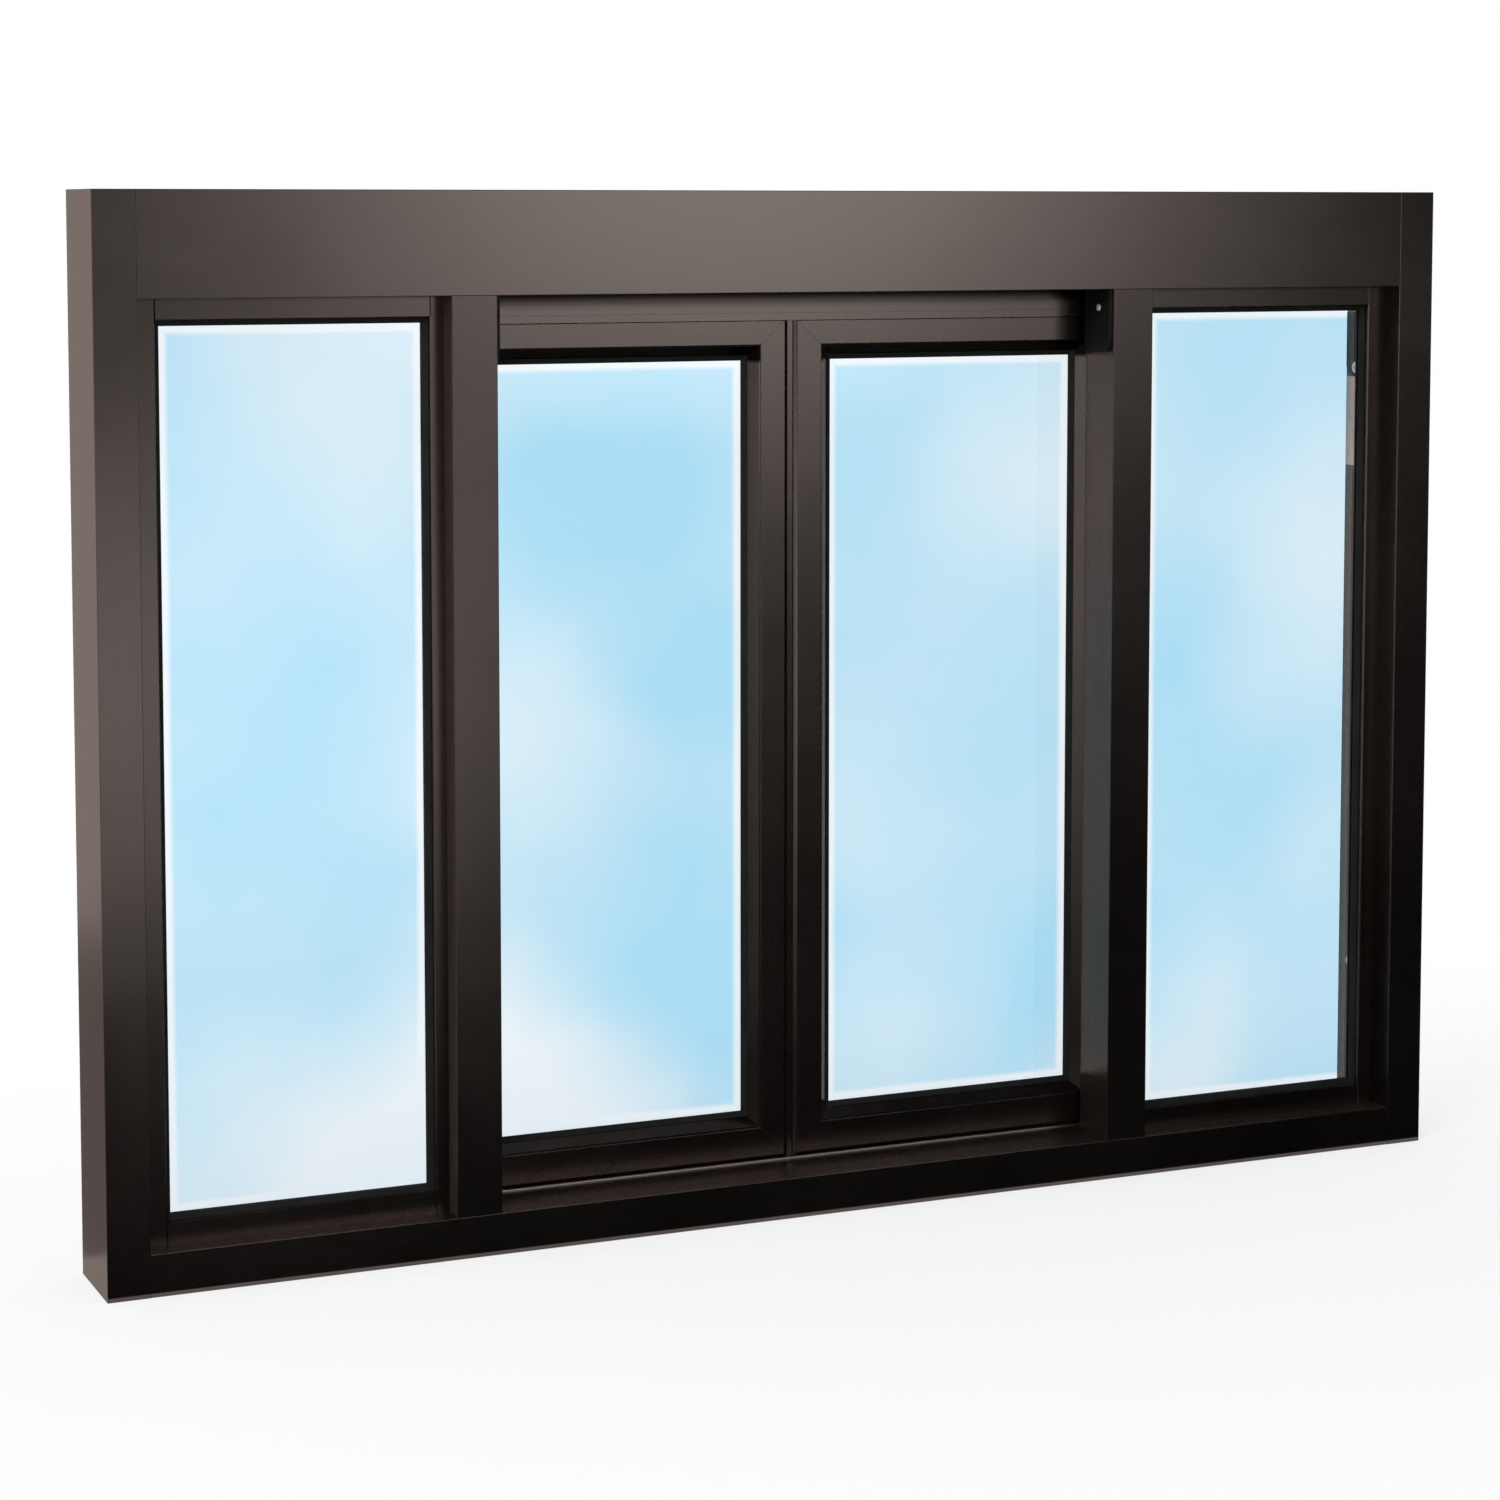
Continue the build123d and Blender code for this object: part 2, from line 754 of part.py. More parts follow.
def latch():
    """Thumb latch on the room side of the right meeting stile."""
    middle = sash_inner + stile_face / 2
    x_range = (middle - latch_width / 2, middle + latch_width / 2)
    z_range = (latch_middle_height - latch_height / 2, latch_middle_height + latch_height / 2)
    body = block(x_range, (sash_rear, sash_rear + latch_projection), z_range)
    body = fillet(body.edges().filter_by(Axis.Y), latch_width / 4)
    rear_edges = body.faces().sort_by(Axis.Y)[-1].edges()
    body = chamfer(rear_edges, latch_projection / 6)
    knob_middle = front_plane + sash_rear + latch_projection + latch_knob_length / 2
    knob = Pos(middle, knob_middle, latch_middle_height)
    knob *= Rot(90, 0, 0) * Cylinder(latch_knob_radius, latch_knob_length)
    return body + knob


def strike():
    """Strike of the latch on the left meeting stile."""
    middle = -sash_inner - stile_face / 2
    x_range = (middle - strike_width / 2, middle + strike_width / 2)
    z_range = (latch_middle_height - strike_height / 2, latch_middle_height + strike_height / 2)
    body = block(x_range, (sash_rear, sash_rear + latch_projection), z_range)
    return fillet(body.edges().filter_by(Axis.Y), strike_width / 4)


def sash_pull():
    """Angle pull on the room side of the left meeting stile."""
    middle = -sash_inner - stile_face / 2
    low = latch_middle_height + pull_above_latch
    edge = middle + pull_width / 2
    section = rectangle((middle - pull_width / 2, sash_rear), (edge, sash_rear + pull_thickness))
    section += rectangle((edge - pull_thickness, sash_rear), (edge, sash_rear + pull_projection))
    section = round_corner(section, (edge, sash_rear + pull_projection), 0.4 * pull_thickness)
    return along_z(section, low, low + pull_length)


os.makedirs("parts", exist_ok=True)

save_pair("jamb", jamb())
save_pair("mullion", mullion())
save("sill", sill())
save("header_box", header_box())
save("header_cover", header_cover())
save("sash_track", sash_track())
save("track_fascia", track_fascia())
save("sill_guide", sill_guide())
left_buffer = track_buffers()
save("track_buffers", left_buffer, to_right(left_buffer))

save_pair("front_stops", *front_stops())
save_pair("rear_stops", *rear_stops())
save_pair("fixed_gaskets", fixed_gasket(fixed_glass_front, 1), fixed_gasket(fixed_glass_rear, -1))
save_pair("fixed_glass", fixed_glass())

members = sash_members()
save_pair("outer_stile", members["left"])
save_pair("meeting_stile", members["right"])
save_pair("bottom_rail", members["bottom"])
save_pair("top_rail", members["top"])
save_pair("sash_beads", *sash_beads())
save_pair("sash_gaskets", *sash_gaskets())
save_pair("sash_glass", sash_glass())
save_pair("sash_hangers", *sash_hangers())

save("meeting_seal", meeting_seal())
save_pair("mullion_brush", mullion_brush())
left_block = mullion_block()
save("mullion_blocks", left_block, to_right(left_block))
save("jamb_strap", jamb_strap())
save("jamb_plate", jamb_plate())
save("latch", latch())
save("strike", strike())
save_pair("sash_pull", sash_pull())
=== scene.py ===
import math

import bmesh
import bpy
from mathutils import Matrix, Vector


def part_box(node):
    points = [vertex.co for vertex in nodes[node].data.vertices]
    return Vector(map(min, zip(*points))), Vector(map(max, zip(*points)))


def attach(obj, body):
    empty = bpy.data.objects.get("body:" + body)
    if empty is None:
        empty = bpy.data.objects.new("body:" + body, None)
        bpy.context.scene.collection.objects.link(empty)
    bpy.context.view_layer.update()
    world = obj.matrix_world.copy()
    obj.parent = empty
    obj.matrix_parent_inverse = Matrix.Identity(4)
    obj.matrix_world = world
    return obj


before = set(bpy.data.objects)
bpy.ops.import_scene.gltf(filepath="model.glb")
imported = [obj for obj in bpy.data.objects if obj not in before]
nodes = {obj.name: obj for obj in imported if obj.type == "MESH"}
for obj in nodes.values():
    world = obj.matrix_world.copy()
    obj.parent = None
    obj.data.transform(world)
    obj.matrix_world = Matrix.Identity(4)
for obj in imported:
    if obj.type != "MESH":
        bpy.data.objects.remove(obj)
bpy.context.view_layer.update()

# Looks of the bi-parting sliding service window, in metres.
# X runs to the right as seen from outside, Y runs inwards, Z is up.

# Camera, fitted to the photograph's lines with a small vertical shift
camera_place = Vector((-1.623, -3.598, 1.128))
camera_yaw = math.radians(23.526)
camera_pitch = math.radians(4.708)
camera_lens = 84.518
camera_sensor = 36.0
camera_shift_y = -0.165
camera_reach = 100.0

# Finishes, as linear colours
bronze_colour = (0.105, 0.087, 0.080)
jamb_colour = (0.097, 0.080, 0.074)
mullion_colour = (0.080, 0.066, 0.061)
sash_colour = (0.098, 0.081, 0.074)
stop_colour = (0.090, 0.074, 0.068)
rubber_colour = (0.007, 0.007, 0.007)
pile_colour = (0.020, 0.019, 0.019)
zinc_colour = (0.56, 0.56, 0.55)
mill_colour = (0.62, 0.63, 0.64)
black_colour = (0.007, 0.0065, 0.0065)
taupe_colour = (0.58, 0.34, 0.265)
# The glass's blue is partly its own tint and partly a painted sky; its white is that of the painted sky
# reflections and rim highlight
glass_tint_and_sky_blue = (0.43, 0.755, 0.945)
painted_sky_white = (0.87, 0.94, 0.98)
edge_tint = (0.68, 0.60, 0.57)
mullion_edge_tint = (0.80, 0.58, 0.51)
inner_edge_tint = (0.42, 0.35, 0.32)
satin_tint = (0.80, 0.64, 0.58)
floor_colour = (0.93, 0.93, 0.93)
white = (1.0, 1.0, 1.0, 1.0)

# Light levels
sky_fill = 0.75
white_level = 1.0


# Node helpers


def new_material(name):
    """Material with only a Principled shader and an output."""
    material = bpy.data.materials.new(name)
    material.use_nodes = True
    tree = material.node_tree
    tree.nodes.clear()
    output = tree.nodes.new("ShaderNodeOutputMaterial")
    shader = tree.nodes.new("ShaderNodeBsdfPrincipled")
    tree.links.new(shader.outputs["BSDF"], output.inputs["Surface"])
    return material, tree, shader


def surface_of(tree):
    """The Surface socket of a material's output."""
    output = next(node for node in tree.nodes if node.type == "OUTPUT_MATERIAL")
    return output.inputs["Surface"]


def math_node(tree, operation, first, second=0.0, third=0.0):
    """Output of a Math node. Each input is a socket or a number."""
    node = tree.nodes.new("ShaderNodeMath")
    node.operation = operation
    for socket, value in zip(node.inputs, (first, second, third)):
        if isinstance(value, bpy.types.NodeSocket):
            tree.links.new(value, socket)
        else:
            socket.default_value = value
    return node.outputs["Value"]


def sum_of_squares(tree, first, second):
    """The squares of two values, added."""
    return math_node(tree, "MULTIPLY_ADD", first, first, math_node(tree, "MULTIPLY", second, second))


def object_point(tree):
    """Object coordinates, which are the row frame's for every node of the frame."""
    return tree.nodes.new("ShaderNodeTexCoord").outputs["Object"]


def split_point(tree, point):
    """The X, Y and Z of a vector."""
    node = tree.nodes.new("ShaderNodeSeparateXYZ")
    tree.links.new(point, node.inputs["Vector"])
    return node.outputs["X"], node.outputs["Y"], node.outputs["Z"]


def stretched(tree, point, scale):
    """A vector scaled along each axis."""
    node = tree.nodes.new("ShaderNodeVectorMath")
    node.operation = "MULTIPLY"
    tree.links.new(point, node.inputs[0])
    node.inputs[1].default_value = scale
    return node.outputs["Vector"]


def noise(tree, point, scale, detail, roughness, output="Fac"):
    """Noise from 0 to 1, as one value or, from the output Color, as three."""
    node = tree.nodes.new("ShaderNodeTexNoise")
    tree.links.new(point, node.inputs["Vector"])
    node.inputs["Scale"].default_value = scale
    node.inputs["Detail"].default_value = detail
    node.inputs["Roughness"].default_value = roughness
    return node.outputs[output]


def spread(tree, value, source, target, smooth=False):
    """A value mapped from one range to another and held inside it."""
    node = tree.nodes.new("ShaderNodeMapRange")
    node.interpolation_type = "SMOOTHSTEP" if smooth else "LINEAR"
    tree.links.new(value, node.inputs["Value"])
    node.inputs["From Min"].default_value = source[0]
    node.inputs["From Max"].default_value = source[1]
    node.inputs["To Min"].default_value = target[0]
    node.inputs["To Max"].default_value = target[1]
    return node.outputs["Result"]


def weighed(tree, first, first_share, second, second_share):
    """Two values, each times its share, added."""
    part = math_node(tree, "MULTIPLY", second, second_share)
    return math_node(tree, "MULTIPLY_ADD", first, first_share, part)


def mix_values(tree, factor, first, second):
    """One of two values, or a mix of them."""
    node = tree.nodes.new("ShaderNodeMix")
    tree.links.new(factor, node.inputs["Factor"])
    for name, value in (("A", first), ("B", second)):
        tree.links.new(value, node.inputs[name])
    return node.outputs["Result"]


def mix_colours(tree, factor, first, second):
    """A mix of two colours. Each is a socket or a linear colour."""
    node = tree.nodes.new("ShaderNodeMix")
    node.data_type = "RGBA"
    sockets = {socket.identifier: socket for socket in node.inputs}
    tree.links.new(factor, sockets["Factor_Float"])
    for name, value in (("A_Color", first), ("B_Color", second)):
        if isinstance(value, bpy.types.NodeSocket):
            tree.links.new(value, sockets[name])
        else:
            sockets[name].default_value = (*value, 1.0)
    return next(socket for socket in node.outputs if socket.identifier == "Result_Color")


def shade(colour, factor):
    """A colour made lighter or darker."""
    return tuple(min(1.0, channel * factor) for channel in colour)


def toned(tree, factor, colour, shades):
    """A colour that runs from its darker to its lighter shade with the factor."""
    darker, lighter = shades
    return mix_colours(tree, factor, shade(colour, darker), shade(colour, lighter))


def bump(tree, shader, height, strength, distance):
    """Bump on the shader's normal. The distance is the real depth of the relief."""
    node = tree.nodes.new("ShaderNodeBump")
    node.inputs["Strength"].default_value = strength
    node.inputs["Distance"].default_value = distance
    tree.links.new(height, node.inputs["Height"])
    tree.links.new(node.outputs["Normal"], shader.inputs["Normal"])


def edge_margins(tree, point, box):
    """Distances from the nearer upright and the nearer rail of a box in |x| and z."""
    x_low, x_high, z_low, z_high = box
    x, _, z = split_point(tree, point)
    aside = math_node(tree, "ABSOLUTE", x)
    margins = []
    for value, low, high in ((aside, x_low, x_high), (z, z_low, z_high)):
        above = math_node(tree, "SUBTRACT", value, low)
        below = math_node(tree, "SUBTRACT", high, value)
        margins.append(math_node(tree, "MINIMUM", above, below))
    return margins


# Below, a noise is given as its scale, detail and roughness, and a relief as its strength and depth

# Ranges that fine noise and soft clouds mostly fill, and the range from none to all
noise_range = (0.3, 0.7)
cloud_range = (0.35, 0.7)
whole_range = (0.0, 1.0)


# Bronze and bare aluminium

fine_line_scale = 1900.0
long_line_scale = 1.4
line_noise = (1.0, 3.0, 0.65)
oxide_clouds = (4.0, 4.0, 0.6)
oxide_speckle = (1400.0, 1.0, 0.5)
oxide_shades = (0.86, 1.14)
line_share = 0.22
speckle_share = 0.4
recess_shade = 0.05
bronze_roughness = (0.235, 0.305)
bronze_relief = (0.35, 0.00002)
sheen_roughness = 0.35
usual_sheen = 0.06
mullion_sheen = 0.22
mill_line_range = (0.2, 0.8)
mill_shades = (0.8, 1.1)
mill_roughness = (0.28, 0.48)
mill_relief = (0.4, 0.00003)


def die_lines(tree, point, run):
    """Fine lines that an extrusion die leaves along the run, x or z."""
    across = fine_line_scale
    along = long_line_scale
    scale = (along, across, across) if run == "x" else (across, across, along)
    return noise(tree, stretched(tree, point, scale), *line_noise)


def mitred_lines(tree, point, box):
    """Die lines that turn at the mitres of a ring, the same on both sides of the window."""
    from_upright, from_rail = edge_margins(tree, point, box)
    upright = math_node(tree, "LESS_THAN", from_upright, from_rail)
    return mix_values(tree, upright, die_lines(tree, point, "x"), die_lines(tree, point, "z"))


def anodised(name, colour, run, box=None, edge=edge_tint, shadow=None, sheen=usual_sheen):
    """Satin dark bronze anodised aluminium with die lines and a faint cloudiness of the oxide.

    Box is given for a mitred ring. Edge is the tint at grazing angles. Shadow is the low and high
    height between which the colour darkens to a painted shade, standing in for a recess's shadow. Sheen
    is the weight of the soft lustre.
    """
    material, tree, shader = new_material(name)
    point = object_point(tree)
    lines = mitred_lines(tree, point, box) if box else die_lines(tree, point, run)
    clouds = noise(tree, point, *oxide_clouds)
    speckle = noise(tree, point, *oxide_speckle)
    tone = weighed(tree, lines, line_share, clouds, 1 - line_share)
    oxide = toned(tree, spread(tree, tone, noise_range, whole_range), colour, oxide_shades)
    if shadow:
        # Painted shade: between the two shadow heights the colour darkens towards recess_shade, standing
        # in for the shadow in a recess
        _, _, z = split_point(tree, point)
        depth = spread(tree, z, shadow, whole_range, smooth=True)
        oxide = mix_colours(tree, depth, oxide, shade(colour, recess_shade))
    tree.links.new(oxide, shader.inputs["Base Color"])
    gloss = weighed(tree, speckle, speckle_share, clouds, 1 - speckle_share)
    tree.links.new(spread(tree, gloss, noise_range, bronze_roughness), shader.inputs["Roughness"])
    shader.inputs["Metallic"].default_value = 1.0
    shader.inputs["Specular Tint"].default_value = (*edge, 1.0)
    shader.inputs["Sheen Weight"].default_value = sheen
    shader.inputs["Sheen Roughness"].default_value = sheen_roughness
    shader.inputs["Sheen Tint"].default_value = (*satin_tint, 1.0)
    bump(tree, shader, lines, *bronze_relief)
    return material


def mill(run):
    """Bare extruded aluminium with bright and dull die lines."""
    material, tree, shader = new_material("mill_aluminium")
    point = object_point(tree)
    lines = die_lines(tree, point, run)
    tree.links.new(toned(tree, lines, mill_colour, mill_shades), shader.inputs["Base Color"])
    tree.links.new(spread(tree, lines, mill_line_range, mill_roughness), shader.inputs["Roughness"])
    shader.inputs["Metallic"].default_value = 1.0
    bump(tree, shader, lines, *mill_relief)
    return material


# Rubber, pile, zinc and paint

rubber_grain = (2600.0, 3.0, 0.5)
rubber_bloom = (18.0, 3.0, 0.5)
rubber_shades = (1.0, 1.6)
rubber_roughness = (0.55, 0.75)
rubber_relief = (0.4, 0.00006)
fibre_stretch = (2600.0, 60.0, 1500.0)
fibre_noise = (1.0, 2.0, 0.5)
pile_shades = (0.5, 1.8)
pile_roughness = (0.8, 0.95)
pile_relief = (0.8, 0.0003)
zinc_cell_scale = 420.0
zinc_cell_share = 0.4
zinc_haze = (160.0, 4.0, 0.5)
zinc_haze_share = 0.8
zinc_shades = (0.78, 1.15)
zinc_roughness = (0.38, 0.52)
zinc_relief = (0.2, 0.00004)
peel_waves = (700.0, 2.0, 0.5)
paint_dust = (30.0, 5.0, 0.7)
paint_shades = (0.88, 1.15)
paint_gloss_range = (0.6, 1.4)
paint_roughness = (0.43, 0.57)
black_peel = (0.5, 0.00003)
taupe_peel = (0.5, 0.00002)


def rubber():
    """Dull black gasket rubber with a fine grain."""
    material, tree, shader = new_material("gasket_rubber")
    point = object_point(tree)
    grain = noise(tree, point, *rubber_grain)
    bloom = spread(tree, noise(tree, point, *rubber_bloom), cloud_range, whole_range)
    tree.links.new(toned(tree, bloom, rubber_colour, rubber_shades), shader.inputs["Base Color"])
    tree.links.new(spread(tree, grain, noise_range, rubber_roughness), shader.inputs["Roughness"])
    shader.inputs["Specular IOR Level"].default_value = 0.15
    bump(tree, shader, grain, *rubber_relief)
    return material


def pile():
    """Woven pile: short upright fibres with gaps between the tufts."""
    material, tree, shader = new_material("brush_pile")
    fibres = noise(tree, stretched(tree, object_point(tree), fibre_stretch), *fibre_noise)
    tree.links.new(toned(tree, fibres, pile_colour, pile_shades), shader.inputs["Base Color"])
    tree.links.new(spread(tree, fibres, whole_range, pile_roughness), shader.inputs["Roughness"])
    shader.inputs["Sheen Weight"].default_value = 0.3
    bump(tree, shader, fibres, *pile_relief)
    return material


def zinc():
    """Zinc-plated steel with a pale mottle."""
    material, tree, shader = new_material("zinc_plate")
    point = object_point(tree)
    cells = tree.nodes.new("ShaderNodeTexVoronoi")
    tree.links.new(point, cells.inputs["Vector"])
    cells.inputs["Scale"].default_value = zinc_cell_scale
    haze = noise(tree, point, *zinc_haze)
    tone = weighed(tree, cells.outputs["Distance"], zinc_cell_share, haze, zinc_haze_share)
    tree.links.new(toned(tree, tone, zinc_colour, zinc_shades), shader.inputs["Base Color"])
    tree.links.new(spread(tree, haze, noise_range, zinc_roughness), shader.inputs["Roughness"])
    shader.inputs["Metallic"].default_value = 0.45
    bump(tree, shader, haze, *zinc_relief)
    return material


def painted(name, colour, level, peel):
    """Sprayed finish with orange peel. Level is its specular level, peel its relief."""
    material, tree, shader = new_material(name)
    point = object_point(tree)
    waves = noise(tree, point, *peel_waves)
    dust = noise(tree, point, *paint_dust)
    tone = spread(tree, dust, cloud_range, whole_range)
    tree.links.new(toned(tree, tone, colour, paint_shades), shader.inputs["Base Color"])
    gloss = math_node(tree, "ADD", waves, dust)
    tree.links.new(spread(tree, gloss, paint_gloss_range, paint_roughness), shader.inputs["Roughness"])
    shader.inputs["Specular IOR Level"].default_value = level
    bump(tree, shader, waves, *peel)
    return material


# Painted sky reflection in soft patches on the glass's tint: x, z, radius and how much whiter (or, below
# zero, bluer)
painted_sky_patches = [
    (-0.52, 0.97, 0.26, 0.45),
    (-0.60, 0.06, 0.26, 0.60),
    (-0.47, 0.76, 0.16, 0.08),
    (-0.58, 0.60, 0.20, -0.16),
    (-0.50, 0.42, 0.20, -0.12),
    (-0.21, 0.80, 0.18, -0.30),
    (-0.12, 0.62, 0.20, -0.25),
    (-0.08, 0.25, 0.26, -0.35),
    (-0.37, 0.10, 0.28, 0.90),
    (-0.38, 0.26, 0.18, 0.45),
    (-0.20, 0.10, 0.20, 0.35),
    (-0.37, 0.55, 0.22, 0.42),
    (0.32, 0.84, 0.22, 0.32),
    (0.07, 0.46, 0.20, 0.26),
    (0.12, 0.14, 0.22, 0.30),
    (0.36, 0.20, 0.20, -0.30),
    (0.06, 0.85, 0.14, -0.08),
    (0.70, 0.70, 0.24, 0.38),
    (0.47, 0.10, 0.22, 0.42),
    (0.50, 0.62, 0.14, -0.18),
    (0.57, 0.42, 0.15, -0.14),
    (0.72, 0.40, 0.16, 0.14),
]

# Sight size of the panes, the same on both sides of the window: low and high |x|, low and high z
fixed_sight = (0.4465, 0.7305, 0.0765, 1.0105)
sash_sight = (0.0556, 0.3619, 0.1061, 0.9619)
between_panes = 0.40

# The patches wander by the drift, half of it on average, and a painted sky glow lightens all the glass
patch_drift = 0.16
drift_noise = (5.0, 2.0, 0.5)
painted_glow_noise = (3.2, 3.0, 0.5)
painted_glow_range = (0.3, 0.75)
painted_glow_white = (0.12, 0.34)

# Painted highlight: a white rim along the edge of a pane, which fades inwards
painted_rim_range = (0.003, 0.011)
painted_rim_white = 0.9


def pane_margin(tree, point):
    """Distance from the nearest edge of the pane's sight size."""
    x, _, _ = split_point(tree, point)
    outer = math_node(tree, "GREATER_THAN", math_node(tree, "ABSOLUTE", x), between_panes)
    margins = []
    for sight in (sash_sight, fixed_sight):
        margins.append(math_node(tree, "MINIMUM", *edge_margins(tree, point, sight)))
    return mix_values(tree, outer, *margins)


def painted_sky_whiteness(tree, point):
    """How white the glass's tint is, from 0 to 1: a painted sky glow, painted sky patches and a painted
    rim highlight.
    """
    moved = tree.nodes.new("ShaderNodeVectorMath")
    moved.operation = "MULTIPLY_ADD"
    tree.links.new(noise(tree, point, *drift_noise, output="Color"), moved.inputs[0])
    moved.inputs[1].default_value = (patch_drift, 0.0, patch_drift)
    tree.links.new(point, moved.inputs[2])
    x, _, z = split_point(tree, moved.outputs["Vector"])
    whiteness = spread(tree, noise(tree, point, *painted_glow_noise), painted_glow_range, painted_glow_white)
    for patch_x, patch_z, radius, weight in painted_sky_patches:
        across = math_node(tree, "SUBTRACT", x, patch_x + patch_drift / 2)
        up = math_node(tree, "SUBTRACT", z, patch_z + patch_drift / 2)
        distance = math_node(tree, "SQRT", sum_of_squares(tree, across, up))
        patch = spread(tree, distance, (0.0, radius), (weight, 0.0), smooth=True)
        whiteness = math_node(tree, "ADD", whiteness, patch)
    rim = spread(tree, pane_margin(tree, point), painted_rim_range, (painted_rim_white, 0.0), smooth=True)
    whiteness = math_node(tree, "ADD", math_node(tree, "MAXIMUM", whiteness, 0.0), rim)
    return math_node(tree, "MINIMUM", whiteness, 1.0)


def tinted_glass():
    """Clear glass with a pale blue tint, partly its own and partly a painted sky, and painted sky
    reflections in soft patches. Lamps shine through it.
    """
    material, tree, shader = new_material("tinted_glass")
    tint = mix_colours(tree, painted_sky_whiteness(tree, object_point(tree)), glass_tint_and_sky_blue, painted_sky_white)
    tree.links.new(tint, shader.inputs["Base Color"])
    shader.inputs["Transmission Weight"].default_value = 1.0
    shader.inputs["Roughness"].default_value = 0.0
    shader.inputs["IOR"].default_value = 1.5
    shader.inputs["Specular IOR Level"].default_value = 0.3
    path = tree.nodes.new("ShaderNodeLightPath")
    clear = tree.nodes.new("ShaderNodeBsdfTransparent")
    tree.links.new(tint, clear.inputs["Color"])
    both = tree.nodes.new("ShaderNodeMixShader")
    tree.links.new(path.outputs["Is Shadow Ray"], both.inputs["Fac"])
    tree.links.new(shader.outputs["BSDF"], both.inputs[1])
    tree.links.new(clear.outputs["BSDF"], both.inputs[2])
    tree.links.new(both.outputs["Shader"], surface_of(tree))
    return material


# Materials on the frame's nodes


def dress(node_names, material):
    """Give the named nodes of the frame one material."""
    for name in node_names:
        mesh = nodes[name].data
        mesh.materials.clear()
        mesh.materials.append(material)


def both_sides(*names):
    """The left and right node of each name."""
    return [f"{side}_{name}" for name in names for side in ("left", "right")]


def ring_of(node_name):
    """Outer box of a ring of bars on the left, as |x| and z ranges."""
    low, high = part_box(node_name)
    return (-high.x, -low.x, low.z, high.z)


# Painted shade: the fascia darkens towards the header, standing in for the header's shadow on it, and the
# beads darken at the top of the sight size, standing in for the shade over the top bead
fascia_shadow_depth = 0.022
fascia_shadow_end = 0.001
bead_shadow_depth = 0.004
bead_shadow_rise = 0.002
fascia_low, fascia_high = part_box("track_fascia")
fascia_shadow = (fascia_high.z - fascia_shadow_depth, fascia_high.z - fascia_shadow_end)
bead_top = sash_sight[3]
bead_shadow = (bead_top - bead_shadow_depth, bead_top + bead_shadow_rise)

# Specular levels of the two paints
black_level = 0.12
taupe_level = 0.2

frame_x = anodised("bronze_along_x", bronze_colour, "x")
frame_z = anodised("bronze_along_z", jamb_colour, "z")
mullion_z = anodised("mullion_bronze", mullion_colour, "z", edge=mullion_edge_tint, sheen=mullion_sheen)
sash_x = anodised("sash_along_x", sash_colour, "x")
sash_z = anodised("sash_along_z", sash_colour, "z")
# The fascia and the beads carry the painted shade between their shadow heights
fascia_x = anodised("fascia_bronze", bronze_colour, "x", shadow=fascia_shadow)
inner_z = anodised("inner_jamb_bronze", bronze_colour, "z", edge=inner_edge_tint)
stop_ring = anodised("stops", stop_colour, "x", box=ring_of("left_front_stops"))
bead_ring = anodised("beads", sash_colour, "x", box=ring_of("left_sash_beads"), shadow=bead_shadow)
black_rubber = rubber()
zinc_plate = zinc()
black_paint = painted("black_enamel", black_colour, black_level, black_peel)

dress(["header_box", "header_cover", "sill"], frame_x)
dress(["track_fascia"], fascia_x)
dress(["left_jamb"], frame_z)
dress(["right_jamb"], inner_z)
dress(both_sides("mullion"), mullion_z)
dress(both_sides("top_rail", "bottom_rail"), sash_x)
dress(both_sides("outer_stile", "meeting_stile", "sash_pull"), sash_z)
dress(both_sides("front_stops", "rear_stops"), stop_ring)
dress(both_sides("sash_beads"), bead_ring)
dress(both_sides("fixed_gaskets", "sash_gaskets") + ["track_buffers", "meeting_seal"], black_rubber)
dress(both_sides("fixed_glass", "sash_glass"), tinted_glass())
dress(both_sides("mullion_brush"), pile())
dress(both_sides("sash_hangers"), zinc_plate)
dress(["sash_track", "sill_guide"], mill("x"))
dress(["jamb_strap", "mullion_blocks", "latch", "strike"], black_paint)
dress(["jamb_plate"], painted("taupe_paint", taupe_colour, taupe_level, taupe_peel))


# Pieces that the scene adds


def new_object(name, data):
    """Object with this mesh, lamp or camera, linked to the scene."""
    item = bpy.data.objects.new(name, data)
    bpy.context.scene.collection.objects.link(item)
    return item


def finished_mesh(name, build):
    """Mesh with the shape of the bmesh, which is freed."""
    mesh = bpy.data.meshes.new(name)
    build.to_mesh(mesh)
    build.free()
    return mesh


def add_piece(name, mesh, material):
    """Piece with one material that rides on the window's body."""
    piece = new_object(name, mesh)
    mesh.materials.append(material)
    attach(piece, "root")


# Screws: the half section of a pan head, as shares of its radius and height, and its crossed recess
head_section = [
    (0.0, 1.0), (0.45, 0.97), (0.75, 0.82), (0.93, 0.55), (1.0, 0.25), (0.97, 0.0), (0.0, 0.0)
]
head_steps = 40
head_smooth_angle = math.radians(35)
weld_distance = 1e-6
recess_depth_share = 0.6
recess_half_length_share = 0.52
recess_half_width_share = 0.12
recess_floor_share = 0.55
recess_top_share = 1.15
first_turn = 0.3
further_turn = 0.7


def screw_head(name, radius, height):
    """Pan head, its axis along +Z and its seat at the origin."""
    build = bmesh.new()
    points = [build.verts.new((across * radius, 0.0, up * height)) for across, up in head_section]
    edges = [build.edges.new(pair) for pair in zip(points, points[1:])]
    bmesh.ops.spin(
        build, geom=points + edges, axis=(0, 0, 1), cent=(0, 0, 0), steps=head_steps, angle=2 * math.pi
    )
    bmesh.ops.remove_doubles(build, verts=build.verts, dist=weld_distance)
    bmesh.ops.recalc_face_normals(build, faces=build.faces)
    return new_object(name, finished_mesh(name, build))


